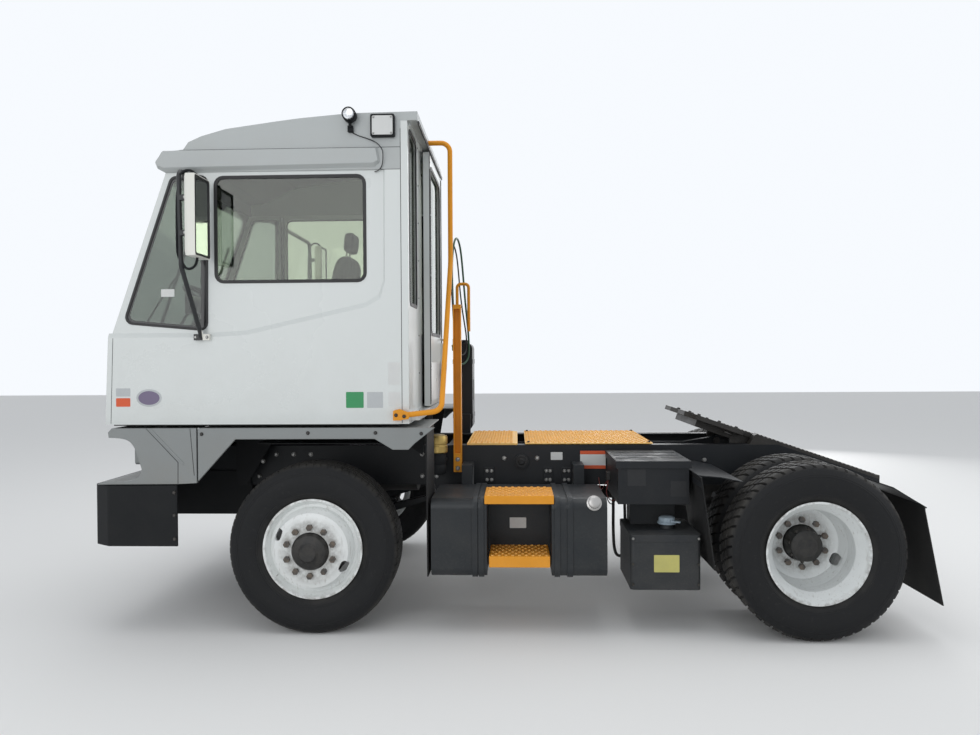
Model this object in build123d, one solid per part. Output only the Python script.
from build123d import *
from math import cos, hypot, pi, radians, sin, tan
import os

# A terminal tractor, in millimetres. X runs forward, Y to the driver's left, Z up from the ground.
# Its origin is on the ground, below the middle of its outline.

# Wheels and axles
TYRE_RADIUS = 512
TYRE_WIDTH = 279
RIM_RADIUS = 300
RIM_HALF_WIDTH = 118
DISC_OFFSET = 168
DISC_WALL = 11
STUD_CIRCLE = 286
STUDS = 10
NUT_ACROSS = 33
HAND_HOLE_CIRCLE = 214
HAND_HOLE_ANGLES = (26, 206)
FRONT_AXLE_X = 1192
WHEELBASE = 2946
REAR_AXLE_X = FRONT_AXLE_X - WHEELBASE
FRONT_WHEEL_Y = 1016
REAR_OUTER_Y = 1095
REAR_INNER_Y = REAR_OUTER_Y - 2 * DISC_OFFSET
KINGPIN_Y = 905

# Frame
RAIL_Y = 432
RAIL_TOP = 1051
RAIL_BOTTOM = 781
RAIL_FLANGE = 90
RAIL_WALL = 10
RAIL_FRONT = 2150
TAIL_X = -2465
RAMP_FRONT = (-1678, 1117)
RAMP_REAR = (TAIL_X, 843)
RAMP_SLOPE = (RAMP_FRONT[1] - RAMP_REAR[1]) / (RAMP_FRONT[0] - RAMP_REAR[0])
RAMP_THICKNESS = 26
RAMP_WIDTH = 60

# Boom and fifth wheel
BOOM_PIVOT = (-61, 940)
BOOM_ARM_Y = (230, 290)
FIFTH_WHEEL_TILT = 19.2
FIFTH_WHEEL_FRONT = (-1192, 1274)
FIFTH_WHEEL_REACH = 430
FIFTH_WHEEL_DROP = 130
FIFTH_WHEEL_THICK = 32
KINGPIN_BORE = 25.5
LIFT_BASE = (-450, 757)
LIFT_EYE = (-1150, 930)
LIFT_Y = 150
LIFT_EYE_BORE = 24

# Cab
CAB_LEFT = 1180
CAB_RIGHT = -220
CAB_REAR = 600
CAB_BOTTOM = 1262
CAB_EAVES = 2752
CAB_BELT = 1805
PANEL = 35
REAR_WALL = 40
FRONT_LOW_X = 2415
FRONT_BELT_X = 2392
SCREEN_FOOT = (2371, CAB_BELT)
SCREEN_TOP = (2039, CAB_EAVES)
GLASS = 6
CREASE = [(2396, 1779), (1773, 1778), (1556, 1791), (850, 1949), (768, 1996), (738, 2090), (735, CAB_EAVES)]
CREASE_DEPTH = 10
CREASE_RISE = 26
BAND_PROUD = 24
TILT_PIN = (2395, 1268)
TILT_KNUCKLES = [
    # y0, y1, on the cab
    (-170, -142, True),
    (-138, -110, False),
    (340, 368, True),
    (372, 400, False),
]
DOOR_Y = (-170, 600)
DOOR_X = (541, 581)
DOOR_Z = (1330, 3010)

# Fascia, fenders and bumper
BODY_Y = 1180
FENDER_TOP = 1240
SKIN = 20
BUMPER_FRONT = 2510
BUMPER_CORNER = (2399, 1124)
BUMPER_REAR = 1984
BUMPER_Z = (541, 901)
BUMPER_Y = 1190
NOSE_HOLLOW = [
    (2396, 1184),
    (2327, 1180),
    (2273, 1163),
    (2231, 1100),
    (2204, 1015),
    (2198, 985),
    (2222, 950),
    (2318, 924),
    (2470, 906),
]
LID_HINGE = (446, 1009)
HOSE_STAND_Y = -300

# Trailer hoses, as the middle points of their bends
HOSE_A_WIDTH = 16
HOSE_A = [
    (432, -235, 1490),
    (432, -235, 1590),
    (442, -238, 1740),
    (452, -236, 1950),
    (460, -232, 2150),
    (464, -228, 2330),
    (458, -240, 2470),
    (446, -292, 2575),
    (430, -385, 2600),
    (414, -462, 2530),
    (402, -486, 2400),
    (390, -484, 2240),
    (376, -474, 2070),
    (362, -462, 1930),
    (353, -457, 1830),
    (350, -456, 1755),
    (350, -455, 1690),
    (360, -441, 1635),
    (387, -402, 1600),
    (419, -354, 1600),
    (446, -315, 1635),
    (456, -300, 1690),
    (456, -300, 1748),
]
HOSE_B_WIDTH = 12
HOSE_B = [
    (432, -205, 1490),
    (432, -205, 1580),
    (440, -206, 1720),
    (448, -200, 1880),
    (458, -204, 2060),
    (468, -196, 2240),
    (478, -200, 2380),
    (476, -222, 2490),
    (468, -290, 2548),
    (452, -370, 2525),
    (440, -426, 2455),
    (430, -450, 2340),
    (420, -466, 2190),
    (404, -474, 2040),
    (386, -464, 1930),
    (372, -457, 1840),
    (369, -456, 1787),
    (368, -455, 1740),
    (374, -444, 1699),
    (389, -412, 1673),
    (409, -374, 1673),
    (424, -342, 1699),
    (430, -330, 1740),
    (430, -330, 1783),
]


def box(x0, x1, y0, y1, z0, z1):
    """A block between two X, two Y and two Z places."""
    return Pos((x0 + x1) / 2, (y0 + y1) / 2, (z0 + z1) / 2) * Box(x1 - x0, y1 - y0, z1 - z0)


def side_face(points, round_off=0):
    """A face in the side view, from (x, z) points."""
    face = make_face(Polyline(*points, close=True))
    if round_off:
        face = fillet(face.vertices(), round_off)
    return face


def across(face, y0, y1):
    """A side-view face given its thickness from y0 to y1."""
    return extrude(Plane.XZ.offset(-y0) * face, amount=-(y1 - y0))


def side_plate(points, y0, y1, round_off=0):
    """A side-view outline given its thickness from y0 to y1."""
    return across(side_face(points, round_off), y0, y1)


def plan_plate(points, z0, z1):
    """A plan-view outline of (x, y) points, from z0 up to z1."""
    return Pos(0, 0, z0) * extrude(make_face(Polyline(*points, close=True)), amount=z1 - z0)


def rod(start, end, radius):
    """A round bar between two points."""
    line = Vector(*end) - Vector(*start)
    return extrude(Plane(origin=start, z_dir=line) * Circle(radius), amount=line.length)


def tube(points, radius, bend):
    """A bent round bar through the points, with one bend radius or a list of them."""
    path = FilletPolyline(*points, radius=bend)
    return sweep(Plane(origin=path @ 0, z_dir=path % 0) * Circle(radius), path=path)


def turned(profile, x, z):
    """A body of revolution about a line along Y, from (radius, y) points."""
    return Pos(x, 0, z) * revolve(make_face(Polyline(*profile, close=True)), axis=Axis.Y)


def mirrored(shape):
    return mirror(shape, about=Plane.XZ)


def both(*shapes):
    """The shapes and their mirror images on the other side."""
    return [*shapes, *[mirrored(s) for s in shapes]]


def slot(x, z, angle, length, width, y0, y1):
    """A long hole through a disc in the side view, its length along the ring at that place."""
    face = Pos(x, z) * Rot(0, 0, angle + 90) * SlotOverall(length, width)
    return across(face, y0, y1)


def hose(route, width):
    """A hose along straight runs joined by arcs, each as large as its two runs allow."""
    points = [Vector(*p) for p in route]
    radii = []
    for before, here, after in zip(points, points[1:], points[2:]):
        turn = radians((here - before).get_angle(after - here))
        radii.append(0.45 * min((here - before).length, (after - here).length) / tan(turn / 2))
    print("hose bends, mm:", [round(r) for r in radii])
    body = tube(route, width / 2, radii)
    length = FilletPolyline(*route, radius=radii).length
    section = pi * width**2 / 4
    print("hose length", round(length), "volume over section times length", body.volume / (section * length))
    return body


def ramp_top(x):
    return RAMP_FRONT[1] + RAMP_SLOPE * (x - RAMP_FRONT[0])


def frame_rails():
    """Two channel rails, cut down to a wedge at the tail."""
    knee_x = RAMP_FRONT[0] + (RAIL_TOP + RAMP_THICKNESS - RAMP_FRONT[1]) / RAMP_SLOPE
    tail_top = RAMP_REAR[1] - RAMP_THICKNESS
    outline = [
        (TAIL_X, RAIL_BOTTOM),
        (RAIL_FRONT, RAIL_BOTTOM),
        (RAIL_FRONT, RAIL_TOP),
        (knee_x, RAIL_TOP),
        (TAIL_X, tail_top),
    ]
    inside = [
        (TAIL_X, RAIL_BOTTOM + RAIL_WALL),
        (RAIL_FRONT, RAIL_BOTTOM + RAIL_WALL),
        (RAIL_FRONT, RAIL_TOP - RAIL_WALL),
        (knee_x, RAIL_TOP - RAIL_WALL),
        (TAIL_X, tail_top - RAIL_WALL),
    ]
    rail = side_plate(outline, RAIL_Y - RAIL_FLANGE, RAIL_Y)
    rail -= side_plate(inside, RAIL_Y - RAIL_FLANGE, RAIL_Y - RAIL_WALL)
    return both(rail)


def crossmembers():
    """Members between the rails, the boom's pivot tube, the lift cylinders' pin and the cab's supports."""
    members = [
        # x0, x1, z0, z1
        (2141, 2166, 985, 1040),
        (400, 460, 900, 1030),
        (-330, -270, RAIL_BOTTOM + RAIL_WALL, 850),
        (-1250, -1190, RAIL_BOTTOM + RAIL_WALL, 850),
        (-2260, -2200, RAIL_BOTTOM + RAIL_WALL, 870),
    ]
    inner = RAIL_Y - RAIL_WALL
    parts = [box(x0, x1, -inner, inner, z0, z1) for x0, x1, z0, z1 in members]
    pivot_x, pivot_z = BOOM_PIVOT
    parts.append(rod((pivot_x, -inner, pivot_z), (pivot_x, inner, pivot_z), 38))
    parts += both(rod((pivot_x, RAIL_Y, pivot_z), (pivot_x, RAIL_Y + 18, pivot_z), 50))
    base_x, base_z = LIFT_BASE
    low = base_z - 36
    hanger = [(base_x - 60, RAIL_BOTTOM), (base_x + 60, RAIL_BOTTOM), (base_x + 35, low), (base_x - 35, low)]
    mount = rod((base_x, -385, base_z), (base_x, 385, base_z), 22)
    for plate in both(side_plate(hanger, 370, 385)):
        mount += plate
    parts.append(mount)
    parts[0] += cab_hinge_arms()
    parts.append(cab_rest())
    return parts


def tilt_pin(y0, y1, radius=14):
    """A length of the cab's hinge line."""
    x, z = TILT_PIN
    return rod((x, y0, z), (x, y1, z), radius)


def cab_hinge_arms():
    """Two arms that rise behind the nose and reach over its lip to the cab's hinge line."""
    x, z = TILT_PIN
    arm = [
        (2151, 1030),
        (2165, 1030),
        (2165, 1090),
        (2186, 1170),
        (2222, 1211),
        (2345, 1219),
        (2350, 1243),
        (x - 4, 1243),
        (x + 8, z),
        (x - 13, z),
        (2330, 1256),
        (2151, 1232),
    ]
    arms = None
    for y0, y1, on_cab in TILT_KNUCKLES:
        if not on_cab:
            piece = side_plate(arm, y0 + 4, y1 - 4) + tilt_pin(y0, y1)
            arms = piece if arms is None else arms + piece
    return arms


def cab_rest():
    """The beam under the cab's rear with its two rubber pads."""
    rest = box(676, 752, -200, RAIL_Y, RAIL_TOP, 1150)
    for y in (-150, 380):
        rest += rod((714, y, 1150), (714, y, 1257), 42)
    return rest


def ramps():
    """Toothed pick-up ramps on the rails' sloping tails."""
    pitch = 27.5
    tooth = 6
    start_x = -1655
    count = int((start_x - TAIL_X) / pitch)
    knee_x = RAMP_FRONT[0] + (RAIL_TOP + RAMP_THICKNESS - RAMP_FRONT[1]) / RAMP_SLOPE
    points = [(-1600, RAIL_TOP), (-1635, ramp_top(-1655) - 12)]
    for i in range(count):
        x = start_x - i * pitch
        points += [(x, ramp_top(x)), (x - pitch / 2, ramp_top(x - pitch / 2) - tooth)]
    points += [(TAIL_X, ramp_top(TAIL_X)), (TAIL_X, ramp_top(TAIL_X) - RAMP_THICKNESS), (knee_x, RAIL_TOP)]
    return both(side_plate(points, RAIL_Y - RAMP_WIDTH, RAIL_Y))


def deck_plates():
    """The fixed walkway just behind the cab."""
    plate = box(-14, 312, -430, 430, RAIL_TOP, RAIL_TOP + 14)
    bar = box(-34, -14, -430, 430, RAIL_TOP, RAIL_TOP + 12)
    return [plate, bar]


def front_bumper():
    """A wrapped bumper with rounded upright edges, open at the back, with its brackets and tow pins."""
    low, high = BUMPER_Z
    wall = 14
    corner_x, corner_y = BUMPER_CORNER
    outer = [(BUMPER_REAR, BUMPER_Y), (corner_x, BUMPER_Y), (BUMPER_FRONT, corner_y)]
    outer += [(x, -y) for x, y in reversed(outer)]
    inner = [
        (BUMPER_REAR - 1, BUMPER_Y - wall),
        (corner_x - wall / 4, BUMPER_Y - wall),
        (BUMPER_FRONT - wall, corner_y - wall / 4),
    ]
    inner += [(x, -y) for x, y in reversed(inner)]
    bumper = plan_plate(outer, low, high)
    corners = [e for e in bumper.edges().filter_by(Axis.Z) if e.center().X > BUMPER_REAR + 1]
    bumper = fillet(corners, 40) - plan_plate(inner, low, high)
    bracket = [(1820, 880), (BUMPER_FRONT - wall, 880), (BUMPER_FRONT - wall, 580), (1760, 580)]
    for plate in both(side_plate(bracket, RAIL_Y, RAIL_Y + 12)):
        bumper += plate
    bumper += box(2300, 2360, -RAIL_Y, RAIL_Y, 620, 720)
    for y in (-300, 300):
        bumper -= box(BUMPER_FRONT - 40, BUMPER_FRONT + 1, y - 60, y + 60, 690, 790)
        bumper += rod((BUMPER_FRONT - 34, y, 660), (BUMPER_FRONT - 34, y, 820), 16)
        for z in (650, 815):
            bumper += box(BUMPER_FRONT - 60, BUMPER_FRONT - wall, y - 30, y + 30, z, z + 15)
    return [bumper]


def nose_x(z):
    """How far forward the nose's hollow is at a height."""
    for (x0, z0), (x1, z1) in zip(NOSE_HOLLOW, NOSE_HOLLOW[1:]):
        if z1 <= z <= z0:
            return x0 + (x1 - x0) * (z - z0) / (z1 - z0)


def nose_inside():
    """The inner side of the nose's hollow: each point moved back by the skin's thickness."""
    inside = []
    for i, (x, z) in enumerate(NOSE_HOLLOW):
        (x0, z0), (x1, z1) = NOSE_HOLLOW[max(i - 1, 0)], NOSE_HOLLOW[min(i + 1, len(NOSE_HOLLOW) - 1)]
        run = hypot(x1 - x0, z1 - z0)
        inside.append((x + SKIN * (z1 - z0) / run, z - SKIN * (x1 - x0) / run))
    inside[0] = (NOSE_HOLLOW[0][0] - SKIN, inside[0][1])
    return inside


def nose_face(hollow, ends):
    """A side-view face bounded in front by a smooth hollow and closed by straight lines."""
    return make_face((Spline(*hollow) + Polyline(hollow[-1], *ends, hollow[0])).edges())


def front_fascia():
    """The concave nose below the cab, wrapped round to the fenders' seam, with a grille opening."""
    seam_x = 1868
    outside = [(1986, 909), (seam_x, 915), (seam_x, FENDER_TOP), (2378, FENDER_TOP), (2400, 1216)]
    shell = across(nose_face(NOSE_HOLLOW, outside), -BODY_Y, BODY_Y)
    inside = nose_inside()
    room = [(seam_x - 1, 800), (seam_x - 1, 1400), (inside[0][0], 1400)]
    shell -= across(nose_face(inside, room), -BODY_Y + SKIN, BODY_Y - SKIN)
    shell -= box(2150, 2480, -330, 330, 1000, 1160)
    for z in range(1018, 1160, 24):
        x = nose_x(z)
        shell += box(x - 22, x - 8, -330, 330, z, z + 8)
    for lamp in headlamps():
        shell -= lamp
    return [shell]


def front_fenders():
    """A skirt over each front wheel with a level top."""
    skirt = [
        (1860, FENDER_TOP),
        (1860, 925),
        (1635, 1173),
        (806, 1174),
        (699, 1110),
        (606, 1110),
        (570, 1147),
        (450, FENDER_TOP),
    ]
    side = side_plate(skirt, BODY_Y - SKIN, BODY_Y)
    top = box(490, 1860, 560, BODY_Y - SKIN, FENDER_TOP - 8, FENDER_TOP)
    return both(side + top)


def wheel_liners():
    """Black liners that close the front wheel wells towards the frame."""
    arch = [(1860, 800), (1790, 800), (1600, 1112), (760, 1112), (600, 1000)]
    inner_wall = [(560, FENDER_TOP - 8), (1860, FENDER_TOP - 8), *arch]
    wall = side_plate(inner_wall, 560, 568)
    roof = box(760, 1600, 568, 900, 1112, 1120)
    return both(wall + roof)


def headlamps():
    """Lamps in the nose's hollow."""
    lamp = box(2215, 2300, 720, 930, 1000, 1150)
    lamp = fillet(lamp.edges().filter_by(Axis.X), 30)
    indicator = fillet(box(2215, 2290, 960, 1080, 1010, 1130).edges().filter_by(Axis.X), 20)
    return both(lamp, indicator)


def engine_block():
    """Engine and transmission, as plain masses between the rails."""
    block = box(1260, 2070, -290, 290, 640, 1225)
    block += rod((700, 0, 860), (1260, 0, 860), 190)
    for x in (1400, 1900):
        block += box(x, x + 80, -342, 342, 775, 795)
    shaft = rod((-1465.5, 0, 575), (695.5, 0, 800), 42)
    core = box(2100, 2140, -342, 342, 800, 1225)
    return [block, shaft, core]


def front_axle():
    """A dropped I-beam with its kingpin ends, and two leaf springs."""
    web = 12
    beam = box(FRONT_AXLE_X - 45, FRONT_AXLE_X + 45, -640, 640, 440, 455)
    beam += box(FRONT_AXLE_X - 45, FRONT_AXLE_X + 45, -640, 640, 495, 510)
    beam += box(FRONT_AXLE_X - web / 2, FRONT_AXLE_X + web / 2, -640, 640, 455, 495)
    rise = [(640, 440), (640, 510), (KINGPIN_Y - 60, 560), (KINGPIN_Y - 60, 470)]
    arm = Plane.YZ.offset(FRONT_AXLE_X - 40) * make_face(Polyline(*rise, close=True))
    arm = extrude(arm, amount=80)
    eye = Pos(FRONT_AXLE_X, KINGPIN_Y, 512) * Cylinder(45, 90)
    eye += box(FRONT_AXLE_X - 38, FRONT_AXLE_X + 38, KINGPIN_Y - 62, KINGPIN_Y, 478, 546)
    eye -= Pos(FRONT_AXLE_X, KINGPIN_Y, 512) * Cylinder(22.5, 90)
    for end in both(arm + eye):
        beam += end
    for spring in front_springs():
        beam += spring
    return [beam]


def front_springs():
    """Leaf packs between the axle and the rails, with their hangers."""
    centre = FRONT_AXLE_X
    leaf = [
        (centre - 700, 700),
        (centre - 90, 510),
        (centre + 90, 510),
        (centre + 700, 700),
        (centre + 700, 725),
        (centre + 90, 575),
        (centre - 90, 575),
        (centre - 700, 725),
    ]
    spring = side_plate(leaf, 350, 430)
    for x in (centre - 700, centre + 700):
        spring += box(x - 40, x + 40, 345, 430, 690, RAIL_BOTTOM)
    return both(spring)


def knuckle():
    """Steering knuckle on the left: a fork on the kingpin, its spindle and steering arm."""
    top = box(FRONT_AXLE_X - 40, FRONT_AXLE_X + 40, KINGPIN_Y - 40, KINGPIN_Y + 62, 564, 594)
    low = box(FRONT_AXLE_X - 40, FRONT_AXLE_X + 40, KINGPIN_Y - 40, KINGPIN_Y + 62, 430, 460)
    back = box(FRONT_AXLE_X - 60, FRONT_AXLE_X + 60, KINGPIN_Y + 52, KINGPIN_Y + 72, 430, 594)
    pin = rod((FRONT_AXLE_X, KINGPIN_Y, 420), (FRONT_AXLE_X, KINGPIN_Y, 600), 22)
    spindle = rod((FRONT_AXLE_X, KINGPIN_Y + 60, TYRE_RADIUS), (FRONT_AXLE_X, 1140, TYRE_RADIUS), 38)
    arm = plan_plate(
        [
            (FRONT_AXLE_X - 40, KINGPIN_Y - 40),
            (FRONT_AXLE_X - 40, KINGPIN_Y + 30),
            (FRONT_AXLE_X - 175, KINGPIN_Y),
            (FRONT_AXLE_X - 175, KINGPIN_Y - 50),
        ],
        432,
        452,
    )
    return top + low + back + pin + spindle + arm


def tie_rod():
    """The rod that joins the two steering arms."""
    x = FRONT_AXLE_X - 150
    bar = rod((x, -KINGPIN_Y + 20, 400), (x, KINGPIN_Y - 20, 400), 18)
    for y in (-KINGPIN_Y + 22, KINGPIN_Y - 22):
        bar += rod((x, y, 378), (x, y, 424), 24)
    return [bar]


def tyre(y):
    """A tyre centred on y, as (radius, y) points turned about the axle."""
    half = TYRE_WIDTH / 2
    outer = [
        # radius, distance from the middle
        (TYRE_RADIUS, 88),
        (TYRE_RADIUS - 12, 112),
        (468, 128),
        (415, half - 2),
        (360, half - 8),
        (RIM_RADIUS + 6, 108),
        (RIM_RADIUS - 14, 96),
    ]
    return [(r, y - d) for r, d in reversed(outer)] + [(r, y + d) for r, d in outer]


def rim_profile(y, disc_side):
    """A drop-centre rim with its disc on the side of disc_side, +1 or -1 along Y."""
    w = RIM_HALF_WIDTH
    s = disc_side
    disc = y + s * DISC_OFFSET
    return [
        (RIM_RADIUS, y - s * w),
        (RIM_RADIUS - 15, y - s * (w - 16)),
        (RIM_RADIUS - 48, y - s * 35),
        (RIM_RADIUS - 48, y + s * 35),
        (RIM_RADIUS - 15, y + s * (w - 16)),
        (RIM_RADIUS, y + s * w),
        (RIM_RADIUS - 12, y + s * w),
        (RIM_RADIUS - 36, y + s * 74),
        (RIM_RADIUS - 52, y + s * 78),
        (222, disc - s * 18),
        (180, disc),
        (112, disc),
        (112, disc - s * DISC_WALL),
        (178, disc - s * DISC_WALL),
        (216, disc - s * 29),
        (RIM_RADIUS - 60, y + s * 60),
        (RIM_RADIUS - 60, y - s * 40),
        (RIM_RADIUS - 12, y - s * w),
    ]


def wheel(x, y, disc_side):
    """A steel disc wheel with two oval hand holes."""
    body = turned(rim_profile(y, disc_side), x, TYRE_RADIUS)
    for angle in HAND_HOLE_ANGLES:
        turn = radians(angle)
        at_x, at_z = x + HAND_HOLE_CIRCLE * cos(turn), TYRE_RADIUS + HAND_HOLE_CIRCLE * sin(turn)
        outside = y + disc_side * (DISC_OFFSET + 5)
        body -= slot(at_x, at_z, angle, 74, 42, *sorted((outside, outside - disc_side * 90)))
    return body


def front_hub(x):
    """Hub and drum inside a front wheel."""
    face = FRONT_WHEEL_Y + DISC_OFFSET
    profile = [
        (39, 984),
        (202, 984),
        (202, 1110),
        (160, 1140),
        (160, face - 12),
        (108, face - 12),
        (108, face + 6),
        (96, face + 30),
        (60, face + 46),
        (46, face + 60),
        (0, face + 60),
        (0, 1142),
        (39, 1142),
    ]
    return turned(profile, x, TYRE_RADIUS)


def stud_ring(x, y0, y1):
    """Wheel nuts in a ring on the disc's face."""
    nut = Plane.XZ.offset(-y0) * RegularPolygon(NUT_ACROSS / 2, 6, major_radius=False)
    nut = extrude(nut, amount=-(y1 - y0))
    ring = None
    for i in range(STUDS):
        turn = radians(360 / STUDS * (i + 0.5))
        at = Pos(x + STUD_CIRCLE / 2 * cos(turn), 0, TYRE_RADIUS + STUD_CIRCLE / 2 * sin(turn))
        ring = at * nut if ring is None else ring + at * nut
    return ring


def rear_hub(x):
    """Hub and drum between the twin wheels, with the axle's end cap."""
    face = REAR_OUTER_Y - DISC_OFFSET
    profile = [
        (55, 700),
        (204, 700),
        (204, face - 52),
        (160, face - DISC_WALL),
        (106, face - DISC_WALL),
        (106, face + 40),
        (92, face + 105),
        (60, face + 118),
        (0, face + 118),
        (0, face + 40),
        (55, face + 40),
    ]
    return turned(profile, x, TYRE_RADIUS)


def rear_axle():
    """Drive axle with its round differential case, bolted straight to the rails."""
    axle = rod((REAR_AXLE_X, -650, TYRE_RADIUS), (REAR_AXLE_X, 650, TYRE_RADIUS), 72)
    axle += rod((REAR_AXLE_X, -930, TYRE_RADIUS), (REAR_AXLE_X, 930, TYRE_RADIUS), 50)
    axle += Pos(REAR_AXLE_X, 0, TYRE_RADIUS) * Rot(0, 90, 0) * Cylinder(205, 190)
    axle += rod((REAR_AXLE_X + 95, 0, 560), (REAR_AXLE_X + 284, 0, 575), 80)
    seat = [
        (REAR_AXLE_X - 140, RAIL_BOTTOM),
        (REAR_AXLE_X + 140, RAIL_BOTTOM),
        (REAR_AXLE_X + 70, TYRE_RADIUS - 20),
        (REAR_AXLE_X - 70, TYRE_RADIUS - 20),
    ]
    for plate in both(side_plate(seat, 370, 425)):
        axle += plate
    return [axle]


def boom():
    """Two box arms from the pivot tube to the fifth wheel, tied by cross tubes."""
    pivot_x, pivot_z = BOOM_PIVOT
    tilt_x, tilt_z = fifth_wheel_pivot()
    y0, y1 = BOOM_ARM_Y
    arm_outline = [
        (pivot_x - 20, pivot_z - 50),
        (-1200, 868),
        (tilt_x - 55, tilt_z - 90),
        (tilt_x - 55, tilt_z + 10),
        (tilt_x, tilt_z + 45),
        (tilt_x + 60, tilt_z + 20),
        (-1300, 1000),
        (pivot_x - 20, 1000),
    ]
    arm = side_plate(arm_outline, y0, y1)
    arm += rod((pivot_x, y0, pivot_z), (pivot_x, y1, pivot_z), 58)
    arm -= rod((pivot_x, y0, pivot_z), (pivot_x, y1, pivot_z), 38.5)
    arm -= rod((tilt_x, y0, tilt_z), (tilt_x, y1, tilt_z), 25.5)
    eye_x, eye_z = LIFT_EYE
    frame = rod((eye_x, -y0, eye_z), (eye_x, y0, eye_z), 15)
    frame += box(-560, -480, -y0, y0, 905, 985)
    frame += box(-1400, -1330, -y0, y0, 890, 980)
    for side in both(arm):
        frame += side
    return [frame]


def boom_deck():
    """The walkway that rides on the boom, with its two bearers."""
    plate = box(-953, -85, -430, 430, RAIL_TOP + 5, RAIL_TOP + 14)
    for x in (-300, -880):
        plate += box(x, x + 50, -BOOM_ARM_Y[1], BOOM_ARM_Y[1], 1000, RAIL_TOP + 5)
    return [plate]


def fifth_wheel_centre():
    """The middle of the jaw, on the plate's top face, in the side view."""
    turn = radians(FIFTH_WHEEL_TILT)
    x, z = FIFTH_WHEEL_FRONT
    return x - FIFTH_WHEEL_REACH * cos(turn), z - FIFTH_WHEEL_REACH * sin(turn)


def fifth_wheel_pivot():
    """The tilt axis, below the jaw."""
    turn = radians(FIFTH_WHEEL_TILT)
    x, z = fifth_wheel_centre()
    return x + FIFTH_WHEEL_DROP * sin(turn), z - FIFTH_WHEEL_DROP * cos(turn)


def on_tilted_plate(body):
    """Turn and place what is drawn with the jaw's middle on the plate's top face as its origin."""
    x, z = fifth_wheel_centre()
    return Pos(x, 0, z) * Rot(0, -FIFTH_WHEEL_TILT, 0) * body


def fifth_wheel():
    """The coupling plate with its throat and jaw."""
    reach = FIFTH_WHEEL_REACH
    half = [
        (reach - 40, 0),
        (reach, 130),
        (reach, 330),
        (reach - 70, 450),
        (40, 450),
        (0, 350),
        (-330, 330),
        (-reach, 270),
        (-reach, 190),
        (-60, 32),
        (-60, 0),
    ]
    outline = half + [(x, -y) for x, y in reversed(half[1:-1])]
    plate = plan_plate(outline, -FIFTH_WHEEL_THICK, 0)
    plate -= Cylinder(KINGPIN_BORE, 120) + box(-62, 0, -KINGPIN_BORE, KINGPIN_BORE, -60, 60)
    plate -= side_plate([(-300, 0), (-reach - 1, -18), (-reach - 1, 9), (-300, 9)], -400, 400)
    return [on_tilted_plate(plate)]


def fifth_wheel_lugs():
    """Below the plate: a ring of stiffening ribs, and the lugs and pins it tilts on."""
    low, top = -80, -FIFTH_WHEEL_THICK
    body = box(60, 330, -320, -300, low, top) + box(60, 330, 300, 320, low, top)
    body += box(310, 330, -300, 300, low, top) + box(60, 80, -300, 300, low, top)
    foot = -FIFTH_WHEEL_DROP - 40
    lug = side_plate([(-75, top), (95, top), (40, foot), (-40, foot)], 298, 328)
    pin = rod((0, 226, -FIFTH_WHEEL_DROP), (0, 300, -FIFTH_WHEEL_DROP), 25)
    for piece in both(lug + pin):
        body += piece
    return [on_tilted_plate(body)]


def lift_line():
    """The unit vector from the lift cylinders' base to their eye, in the side view."""
    dx, dz = LIFT_EYE[0] - LIFT_BASE[0], LIFT_EYE[1] - LIFT_BASE[1]
    length = hypot(dx, dz)
    return dx / length, dz / length, length


def lift_barrel(y):
    ux, uz, length = lift_line()
    x, z = LIFT_BASE

    def at(s):
        return (x + ux * s, y, z + uz * s)

    barrel = rod(at(30), at(350), 45) - rod(at(60), at(351), 26)
    eye = rod((x, y - 22, z), (x, y + 22, z), 36) + rod(at(28), at(45), 22)
    eye -= rod((x, y - 23, z), (x, y + 23, z), 22.5)
    return barrel + eye


def lift_rod(y):
    ux, uz, length = lift_line()
    x, z = LIFT_BASE

    def at(s):
        return (x + ux * s, y, z + uz * s)

    eye_x, eye_z = LIFT_EYE
    eye = rod((eye_x, y - 20, eye_z), (eye_x, y + 20, eye_z), 38)
    bar = rod(at(80), at(length - 20), 25) + eye
    bar -= rod((eye_x, y - 21, eye_z), (eye_x, y + 21, eye_z), LIFT_EYE_BORE)
    return bar


def fuel_tank():
    """A square-section tank with a bay for the steps, on brackets from the rail."""
    section = Plane.YZ.offset(-557) * Pos(855, 582.5) * RectangleRounded(590, 461, 55)
    tank = extrude(section, amount=481 + 557)
    tank -= box(-232, 151, 870, 1200, 300, 900)
    tank += rod((-480, 1080, 769), (-480, 1170, 800), 34)
    strap = RectangleRounded(606, 477, 60)
    for x in (206, 168, -280, -356):
        tank += extrude(Plane.YZ.offset(x) * Pos(855, 582.5) * strap, amount=32)
    for x in (265, -470):
        tank += box(x, x + 70, RAIL_Y, 620, 800, 940) + box(x, x + 70, RAIL_Y, 570, 560, 821)
    return [tank]


def side_steps():
    """Two folded treads in the tank's bay."""
    upper = box(-245, 164, 840, 1150, 828, 834) + box(-245, 164, 1144, 1150, 785, 834)
    upper += box(-245, 164, 840, 846, 813, 834)
    lower = box(-221, 138, 870, 1150, 471, 477) + box(-221, 138, 1144, 1150, 411, 477)
    return [upper, lower]


def lid_knuckle(x0, x1):
    """A length of the battery lid's hinge line."""
    y, z = LID_HINGE
    return rod((x0, y, z), (x1, y, z), 7)


def battery_box():
    """An open box on the rail with its hinge leaves."""
    body = box(-1066, -640, 445, 1000, 756, 1000)
    body -= box(-1060, -646, 451, 994, 762, 1001)
    body += box(-1020, -690, RAIL_Y, 445, 780, 960)
    for x0, x1 in ((-1010, -980), (-726, -696)):
        body += box(x0, x1, 441, 446, 960, 1009) + lid_knuckle(x0, x1)
    return [body]


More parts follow.
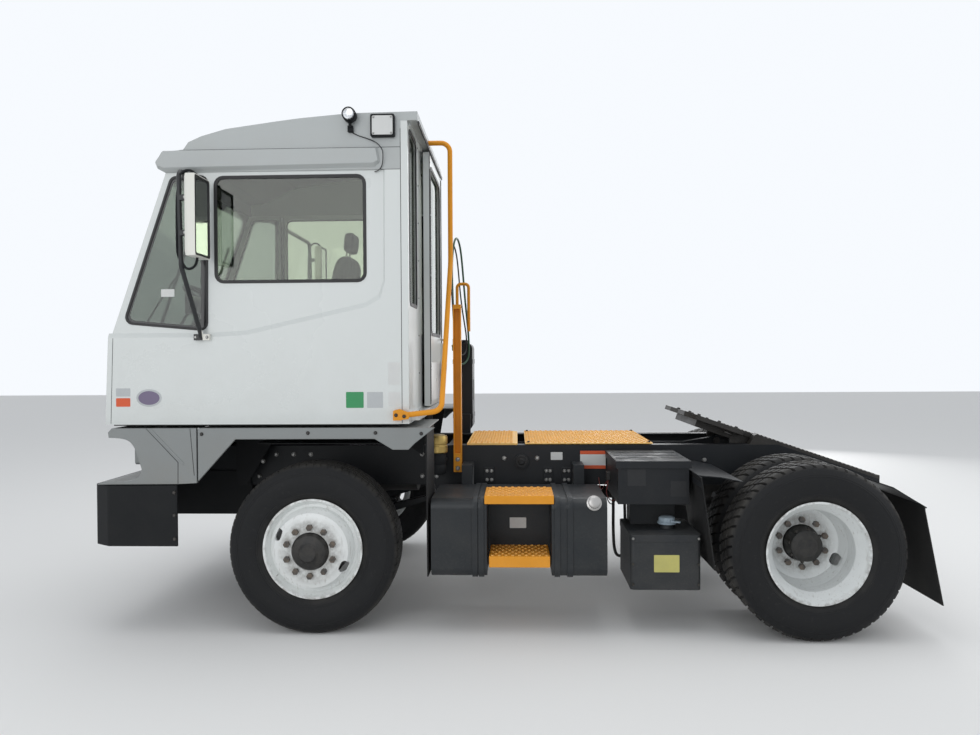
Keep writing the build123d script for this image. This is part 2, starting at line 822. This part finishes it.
def battery_lid():
    """The lid, hinged along the rail side, with a skirt on its three free edges."""
    y, z = LID_HINGE
    lid = box(-1080, -626, y, 1014, 1006, 1018)
    for x0, x1 in ((-1013, -977), (-729, -693)):
        lid -= box(x0, x1, y - 1, y + 13, 1005, 1019)
    for x0, x1 in ((-976, -946), (-760, -730)):
        lid += lid_knuckle(x0, x1)
    lid += box(-1080, -1073, 470, 1014, 975, 1006) + box(-633, -626, 470, 1014, 975, 1006)
    lid += box(-1080, -626, 1007, 1014, 975, 1006)
    return [lid]


def urea_tank():
    """The urea tank under the battery box, with its filler cap and carrier."""
    tank = box(-1112, -698, 640, 1100, 267, 594)
    tank = fillet(tank.edges().filter_by(Axis.Z), 22)
    tank += box(-1020, -740, 660, 800, 594, 756)
    tank += Pos(-951, 900, 612) * Cylinder(44, 36)
    return [tank]


def rear_mudguards():
    """Plates ahead of and behind the rear wheels, with the rubber flaps' carriers."""
    front = side_plate(
        [(-1086, 955), (-1215, 945), (-1345, 918), (-1345, 912), (-1215, 939), (-1086, 949)], RAIL_Y, 1150
    )
    rear = side_plate(
        [(-2203, 885), (-2330, 806), (-2392, 769), (-2392, 762), (-2330, 799), (-2203, 878)], RAIL_Y, 1150
    )
    stay = side_plate([(-2392, 769), (-2472, 586), (-2466, 584), (-2386, 762)], 880, 920)
    return both(front, rear + stay)


def mud_flaps():
    """Four rubber flaps at the rear wheels and two behind the front ones."""
    ahead = side_plate([(-1087, 948.9), (-1095, 948.3), (-1172, 411), (-1164, 411)], 640, 1200)
    behind = side_plate([(-2345, 790), (-2353, 785.2), (-2461, 215), (-2453, 215)], 640, 1200)
    front = side_plate([(508, 1232), (500, 1232), (496, 357), (504, 357)], 780, 1155)
    return both(ahead, behind, front)


def tail_lamps():
    """A light box across the tail."""
    bar = box(-2465, -2440, -422, 422, 700, RAIL_BOTTOM)
    return [bar]


def deck_handrail():
    """The upright beside the steps, bolted to the rail."""
    post = box(345, 400, RAIL_Y, RAIL_Y + 45, 873, 2010)
    post -= box(353, 392, RAIL_Y + 8, RAIL_Y + 46, 1000, 1980)
    return [post]


def hose_hanger():
    """A bent tube on the walkway that carries the trailer hoses, with their block and end clips."""
    y = HOSE_STAND_Y
    stand = tube([(430, y, 1060), (430, y, 2226), (340, y, 2226), (340, y, 1856)], 12, 30)
    stand += box(400, 460, y - 40, y + 40, 1030, 1065)
    stand += box(422, 446, y - 12, -180, 1430, 1470)
    for route, width, z in ((HOSE_A, HOSE_A_WIDTH, 1470), (HOSE_B, HOSE_B_WIDTH, 1470)):
        start, end = route[0], route[-1]
        stand += rod((start[0], start[1], z), start, width * 0.75)
        stand += rod(end, (end[0], end[1], end[2] + 50), width * 0.75)
        stand += box(418, 462, min(end[1], y) - 12, y + 12, end[2] + 22, end[2] + 42)
    return [stand]


def hydraulic_tank():
    """An upright oil tank on the right, behind the cab."""
    outline = [(324, 1066), (480, 1066), (480, 1770), (324, 1770)]
    tank = side_plate(outline, -760, -470, 50)
    tank += box(340, 464, -475, -RAIL_Y, 900, 1200)
    return [tank]


def exhaust_stack():
    """A stack with a heat shield at the cab's right rear corner."""
    pipe = rod((690, -420, 1100), (690, -420, 3020), 50)
    shield = rod((690, -420, 1500), (690, -420, 2500), 85)
    foot = box(650, 730, -470, -380, RAIL_TOP, 1110)
    return [pipe + shield + foot]


def air_cleaner():
    """A round intake cleaner on the right fender."""
    can = rod((1150, -760, FENDER_TOP), (1150, -760, 1800), 165)
    cap = rod((1150, -760, 1800), (1150, -760, 1850), 120)
    return [can + cap]


def air_tanks():
    """Two reservoirs and the exhaust box on the right."""
    tanks = []
    for x0, x1 in ((-500, 120), (170, 560)):
        tank = rod((x0, -640, 640), (x1, -640, 640), 125)
        for x in (x0 + 70, x1 - 120):
            tank += box(x, x + 50, -560, -RAIL_Y, 600, 900)
        tanks.append(tank)
    return tanks


def side_window():
    return Pos(1299, 2412.5) * RectangleRounded(886, 615, 45)


def quarter_window():
    return side_face([(2003, 2723), (2297, 1868), (1802, 1823), (1793, 2728)], 38)


def side_panel(outer, inward):
    """A cab side: a skin round its two windows, and a prouder lower body up to the crease."""
    rear = CAB_REAR + REAR_WALL
    outline = side_face([
        (rear, CAB_BOTTOM),
        (FRONT_LOW_X, CAB_BOTTOM),
        (FRONT_BELT_X, CAB_BELT),
        SCREEN_FOOT,
        SCREEN_TOP,
        (rear, CAB_EAVES),
    ])
    skin = outer + inward * CREASE_DEPTH
    panel = across(outline, *sorted((skin, outer + inward * PANEL)))
    behind = [(rear, CAB_EAVES), (rear, CAB_BOTTOM), (FRONT_LOW_X, CAB_BOTTOM)]
    low = make_face(Polyline(*behind, *CREASE, close=True))
    high = make_face(Polyline(*behind, *[(x + 8, z + CREASE_RISE) for x, z in CREASE], close=True))
    body = loft([Plane.XZ.offset(-outer) * low, Plane.XZ.offset(-skin) * high], ruled=True)
    panel += body & across(outline, *sorted((outer, skin)))
    for opening in (side_window(), quarter_window()):
        panel -= across(opening, *sorted((outer, outer + inward * PANEL)))
    return panel


def cab_front_panel():
    """The front below the windshield, with the knuckles that the cab tilts on."""
    outline = [
        (FRONT_LOW_X, CAB_BOTTOM),
        (FRONT_BELT_X, CAB_BELT),
        (FRONT_BELT_X - PANEL, CAB_BELT),
        (FRONT_LOW_X - PANEL, CAB_BOTTOM),
    ]
    panel = side_plate(outline, CAB_RIGHT + PANEL, CAB_LEFT - PANEL)
    for y0, y1, on_cab in TILT_KNUCKLES:
        if on_cab:
            panel += tilt_pin(y0, y1)
        else:
            panel -= tilt_pin(y0 - 2, y1 + 2, 20)
    return [panel]


def cab_glass():
    """The windshield, the fixed side panes and the pane behind the driver."""
    (x0, z0), (x1, z1) = SCREEN_FOOT, SCREEN_TOP
    slab = [(x0 - 6, z0), (x1 - 6, z1), (x1 - 14, z1), (x0 - 14, z0)]
    panes = [side_plate(slab, CAB_RIGHT + PANEL, CAB_LEFT - PANEL)]
    for y in (CAB_LEFT - CREASE_DEPTH - 8, CAB_RIGHT + CREASE_DEPTH + 2):
        panes += [across(side_window(), y, y + GLASS), across(quarter_window(), y, y + GLASS)]
    panes.append(extrude(Plane.YZ.offset(CAB_REAR + 12) * rear_window(), amount=GLASS))
    return panes


def rear_window():
    return Pos(957, 2485) * RectangleRounded(315, 1030, 35)


def roof_band(outer, outward):
    """The gutter band that stands out along one side of the roof, slanted underneath."""
    top, lip_top = 2880, 2872
    foot = [(761, 2796), (790, 2766), (2039, CAB_EAVES), (2082, 2775), (2097, 2811), (2046, top), (774, top)]
    lip = [(771, 2800), (800, 2786), (2036, 2774), (2072, 2788), (2084, 2811), (2040, lip_top), (784, lip_top)]
    faces = [Plane.XZ.offset(-outer) * make_face(Polyline(*foot, close=True))]
    faces.append(Plane.XZ.offset(-outer - outward * BAND_PROUD) * make_face(Polyline(*lip, close=True)))
    return loft(faces, ruled=True)


def cab_roof():
    """The roof cap with its brow over the windshield, its side bands and its lip over the door."""
    lip = (CAB_REAR + REAR_WALL, 3035)
    outline = [
        (540, 3035),
        lip,
        (lip[0], CAB_EAVES),
        (2039, CAB_EAVES),
        (2082, 2775),
        (2097, 2811),
        (2059, 2874),
        (1929, 2886),
        (1898, 2929),
        (1820, 2963),
        (1674, 3003),
        (1385, 3041),
        (1231, 3059),
        (935, 3083),
        (540, 3088),
    ]
    room = [
        (lip[0], CAB_EAVES - 1),
        (2005, CAB_EAVES - 1),
        (2020, 2840),
        (1900, 2850),
        (1660, 2968),
        (1230, 3024),
        (lip[0], 3048),
    ]
    roof = side_plate(outline, CAB_RIGHT, CAB_LEFT)
    roof -= side_plate(room, CAB_RIGHT + PANEL, CAB_LEFT - PANEL)
    return [roof + roof_band(CAB_LEFT, 1) + roof_band(CAB_RIGHT, -1)]


def cab_rear_wall():
    """The rear wall with the doorway, the driver's rear window and the door's track."""
    wall = box(CAB_REAR, CAB_REAR + REAR_WALL, CAB_RIGHT, CAB_LEFT, CAB_BOTTOM, 3035)
    wall -= box(CAB_REAR - 1, CAB_REAR + REAR_WALL + 1, -110, 540, CAB_BOTTOM + 58, 2960)
    wall -= extrude(Plane.YZ.offset(CAB_REAR) * rear_window(), amount=REAR_WALL)
    track = box(587, CAB_REAR, CAB_RIGHT + 30, CAB_LEFT - 40, 3015, 3035)
    track += box(587, CAB_REAR, CAB_RIGHT + 30, CAB_LEFT - 40, 1280, 1322)
    track += box(545, 587, CAB_RIGHT + 30, CAB_LEFT - 40, 1280, 1322)
    return [wall + track]


def rear_door():
    """The sliding door with its window cut and its pull."""
    x0, x1 = DOOR_X
    door = box(x0, x1, *DOOR_Y, *DOOR_Z)
    door -= extrude(Plane.YZ.offset(x0) * door_window(), amount=x1 - x0)
    door += box(x0 - 30, x0, -120, -90, 1560, 1760)
    return [door]


def door_window():
    return Pos(230, 2370) * RectangleRounded(600, 1120, 60)


def rear_door_glass():
    return [extrude(Plane.YZ.offset(DOOR_X[0] + 14) * door_window(), amount=GLASS)]


def cab_floor():
    return [box(CAB_REAR + REAR_WALL, 2375, CAB_RIGHT + PANEL, CAB_LEFT - PANEL, CAB_BOTTOM + 6, 1300)]


def dashboard():
    """The dash with its console and the steering column."""
    dash = side_plate(
        [(2370, 1420), (2340, 1790), (2180, 1840), (2050, 1760), (2110, 1420)],
        CAB_RIGHT + PANEL + 10,
        CAB_LEFT - PANEL - 10,
    )
    pedestal = box(2120, 2330, 300, 800, 1300, 1420)
    return [dash + pedestal + steering_wheel()]


def steering_wheel():
    """The rim, its spokes and the column, tilted towards the driver."""
    centre = (1960, 620, 2010)
    plane = Plane(origin=centre, z_dir=(-200, 0, 310))
    column = rod((2160, 620, 1700), centre, 28)
    section = Pos(225, 0) * RegularPolygon(15, 8)
    rim = plane * revolve(Plane.XZ * section, axis=Axis.Z)
    spokes = plane * (Box(450, 30, 12) + Cylinder(45, 24))
    return column + rim + spokes


def driver_chair():
    """The driver's seat on its pedestal."""
    base = box(1180, 1560, 430, 810, 1300, 1560)
    cushion = fillet(box(1120, 1620, 370, 870, 1560, 1700).edges().filter_by(Axis.Z), 60)
    back = side_plate([(1120, 1700), (1230, 1700), (1110, 2330), (1010, 2330)], 380, 860)
    rest = side_plate([(1065, 2330), (1100, 2330), (1085, 2480), (1020, 2480)], 500, 740)
    return [base + cushion + back + rest]


def cab_grab_rail():
    """The bent rail from the cab's lower corner up to the roof's lip."""
    path = [(655, 1200, 1312), (410, 1185, 1338), (400, 620, 2275), (400, 615, 3062), (540, 615, 3062)]
    rail = tube(path, 16, [60, 150, 60])
    foot = box(640, 690, CAB_LEFT, 1215, 1285, 1340)
    return [rail + foot]


def mirrors():
    """Mirror heads on bent arms at both front corners."""
    pairs = []
    for wall, side, arm_radius in ((CAB_LEFT, 1, 13), (CAB_RIGHT, -1, 16)):
        y = side * 1350
        near = wall + side * 18
        path = [(1895, near, 2735), (1880, y, 2720), (1871, y, 2180), (1820, near, 1775)]
        arm = tube(path, arm_radius, 50)
        for x, z, foot in ((1895, 2728, wall - side * CREASE_DEPTH), (1820, 1778, wall)):
            arm += box(x - 46, x + 46, *sorted((foot, wall + side * 24)), z - 18, z + 18)
        arm += mirror_head(y)
        for z in (2350, 2550):
            arm += box(1800, 1874, y - 15, y + 15, z, z + 30)
        pairs.append(arm)
    return pairs


def mirror_head(y):
    """A shell with a rounded front and a recessed rear for its glass."""
    outline = [(1745, 2225), (1800, 2225), (1812, 2260), (1812, 2645), (1800, 2680), (1745, 2680)]
    head = side_plate(outline, y - 103, y + 103)
    front = [e for e in head.edges().filter_by(Axis.Z) if e.center().X > 1811]
    head = fillet(front, 28)
    return head - box(1744, 1757, y - 93, y + 93, 2236, 2669)


def roof_light():
    """A round work lamp on its bracket and a covered box, on the left side of the roof."""
    lamp = rod((930, CAB_LEFT + 16, 3058), (930, CAB_LEFT + 62, 3058), 40)
    lamp += box(915, 945, CAB_LEFT, CAB_LEFT + 26, 2968, 3002)
    lamp += rod((930, CAB_LEFT + 26, 2990), (930, CAB_LEFT + 26, 3040), 9)
    case = fillet(box(671, 812, CAB_LEFT, CAB_LEFT + 28, 2936, 3067).edges().filter_by(Axis.Y), 10)
    return [lamp, case]


def main():
    left_knuckle = knuckle()
    left_front_tyre = turned(tyre(FRONT_WHEEL_Y), FRONT_AXLE_X, TYRE_RADIUS)
    front_face = FRONT_WHEEL_Y + DISC_OFFSET
    front_nuts = stud_ring(FRONT_AXLE_X, front_face, front_face + 24)
    left_front_wheel = [wheel(FRONT_AXLE_X, FRONT_WHEEL_Y, 1) + front_nuts, front_hub(FRONT_AXLE_X)]
    rear_tyres = [turned(tyre(y), REAR_AXLE_X, TYRE_RADIUS) for y in (REAR_OUTER_Y, REAR_INNER_Y)]
    rear_face = REAR_OUTER_Y - DISC_OFFSET + DISC_WALL
    rear_wheels = [
        wheel(REAR_AXLE_X, REAR_OUTER_Y, -1) + stud_ring(REAR_AXLE_X, rear_face, rear_face + 26),
        wheel(REAR_AXLE_X, REAR_INNER_Y, 1),
        rear_hub(REAR_AXLE_X),
    ]
    nodes = {
        "frame_rails": frame_rails(),
        "crossmembers": crossmembers(),
        "pickup_ramps": ramps(),
        "walkway_treads": deck_plates() + side_steps(),
        "front_bumper": front_bumper(),
        "front_fascia": front_fascia(),
        "front_fenders": front_fenders(),
        "wheel_liners": wheel_liners(),
        "lamps": headlamps() + tail_lamps(),
        "engine_block": engine_block(),
        "front_axle": front_axle(),
        "left_knuckle": [left_knuckle],
        "right_knuckle": [mirrored(left_knuckle)],
        "tie_rod": tie_rod(),
        "left_front_tyre": [left_front_tyre],
        "right_front_tyre": [mirrored(left_front_tyre)],
        "left_front_wheel": left_front_wheel,
        "right_front_wheel": [mirrored(s) for s in left_front_wheel],
        "rear_axle": rear_axle(),
        "left_rear_tyres": rear_tyres,
        "right_rear_tyres": [mirrored(s) for s in rear_tyres],
        "left_rear_wheels": rear_wheels,
        "right_rear_wheels": [mirrored(s) for s in rear_wheels],
        "boom": boom(),
        "boom_deck": boom_deck(),
        "fifth_wheel": fifth_wheel(),
        "fifth_wheel_lugs": fifth_wheel_lugs(),
        "lift_barrels": [lift_barrel(LIFT_Y), lift_barrel(-LIFT_Y)],
        "lift_rods": [lift_rod(LIFT_Y), lift_rod(-LIFT_Y)],
        "fuel_tank": fuel_tank(),
        "battery_box": battery_box(),
        "battery_lid": battery_lid(),
        "urea_tank": urea_tank(),
        "rear_mudguards": rear_mudguards(),
        "mud_flaps": mud_flaps(),
        "deck_handrails": deck_handrail() + hose_hanger(),
        "trailer_hose_a": [hose(HOSE_A, HOSE_A_WIDTH)],
        "trailer_hose_b": [hose(HOSE_B, HOSE_B_WIDTH)],
        "right_side_tanks": hydraulic_tank() + air_tanks(),
        "intake_and_exhaust": air_cleaner() + exhaust_stack(),
        "cab_left_panel": [side_panel(CAB_LEFT, -1)],
        "cab_right_panel": [side_panel(CAB_RIGHT, 1)],
        "cab_front_panel": cab_front_panel(),
        "cab_glass": cab_glass(),
        "cab_roof": cab_roof(),
        "cab_rear_wall": cab_rear_wall(),
        "cab_floor": cab_floor(),
        "dashboard": dashboard(),
        "driver_chair": driver_chair(),
        "cab_grab_rail": cab_grab_rail(),
        "mirrors": mirrors(),
        "roof_light": roof_light(),
        "rear_door": rear_door(),
        "rear_door_glass": rear_door_glass(),
    }
    os.makedirs("parts", exist_ok=True)
    for name, solids in nodes.items():
        export_step(Compound(children=solids), f"parts/{name}.step")


main()
